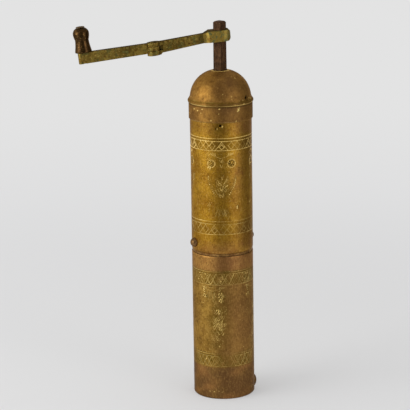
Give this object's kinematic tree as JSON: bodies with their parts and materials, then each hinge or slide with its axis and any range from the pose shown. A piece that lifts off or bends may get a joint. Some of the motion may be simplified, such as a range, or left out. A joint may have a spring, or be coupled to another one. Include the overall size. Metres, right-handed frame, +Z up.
{
  "type": "spice grinder",
  "caption": "Old cylindrical brass spice mill with engraved bands, a domed lid, a square-ended spindle and a folding crank with a turned knob.",
  "frame": {"origin": "centre of the base, on the surface that the mill stands on", "axes": "+Z up along the two tubes and the spindle; the front, seen in the picture, faces -Y; the crank points to -X"},
  "size_m": [0.1318, 0.0486, 0.2844],
  "materials": {
    "engraved_brass": "old brass with a brown patina and worn hand-engraved bands",
    "plain_brass": "smooth old brass with a brown patina",
    "green_brass": "dull olive brass, filed by hand",
    "dark_bronze": "dark bronze-coloured brass, polished by the hand",
    "brown_iron": "dull brown rivet heads",
    "shaft_steel": "brown rusted wrought bar, filed square at the top",
    "burr_iron": "dark grey cast and hardened teeth",
    "dull_steel": "dull grey steel"
  },
  "bodies": {
    "receiver": {"receiver_tube": "engraved_brass", "base_plate": "plain_brass", "base_stud": "brown_iron"},
    "hopper": {"hopper_tube": "engraved_brass", "coupling_sleeve": "plain_brass", "body_rivet_left": "brown_iron", "body_rivet_right": "brown_iron", "ring_burr": "burr_iron", "bottom_bridge": "plain_brass", "bridge_screw_front": "dull_steel", "bridge_screw_rear": "dull_steel", "guide_bridge": "plain_brass", "guide_rivet": "plain_brass"},
    "lid": {"lid_skirt": "engraved_brass", "lid_dome": "plain_brass"},
    "thrust": {"thrust_pad": "dull_steel"},
    "adjuster": {"adjusting_screw": "dull_steel"},
    "spindle": {"drive_shaft": "shaft_steel", "cone_burr": "burr_iron", "cone_pin": "dull_steel"},
    "crank": {"inner_arm": "green_brass", "hinge_pin": "plain_brass"},
    "handle": {"outer_arm": "green_brass", "knob_pin": "plain_brass"},
    "grip": {"knob": "dark_bronze"}
  },
  "joints": [
    {"name": "hopper_lift", "type": "slide", "parent": "receiver", "child": "hopper", "axis": [0, 0, 1], "range_m": [0, 0.02]},
    {"name": "lid_lift", "type": "slide", "parent": "hopper", "child": "lid", "axis": [0, 0, 1], "range_m": [0, 0.018]},
    {"name": "grind_set", "type": "slide", "parent": "hopper", "child": "thrust", "axis": [0, 0, 1], "range_m": [-0.0012, 0.0004]},
    {"name": "adjust_turn", "type": "hinge", "parent": "thrust", "child": "adjuster", "pos_m": [0, 0, 0.1], "axis": [0, 0, 1], "range_deg": [-540.5, 180.5]},
    {"name": "spindle_turn", "type": "hinge", "parent": "thrust", "child": "spindle", "pos_m": [0, 0, 0.11], "axis": [0, 0, 1], "continuous": true},
    {"name": "crank_lift", "type": "slide", "parent": "spindle", "child": "crank", "axis": [0, 0, 1], "range_m": [0, 0.018]},
    {"name": "arm_fold", "type": "hinge", "parent": "crank", "child": "handle", "pos_m": [-0.04839, -0.00423, 0.2656], "axis": [-0.1128, -0.0099, 0.9936], "range_deg": [0, 120]},
    {"name": "knob_spin", "type": "hinge", "parent": "handle", "child": "grip", "pos_m": [-0.09907, -0.00867, 0.2598], "axis": [-0.1128, -0.0099, 0.9936], "continuous": true}
  ],
  "couplings": [
    {"joint": "adjust_turn", "follows": "grind_set", "rad_per_m": 7854}
  ]
}
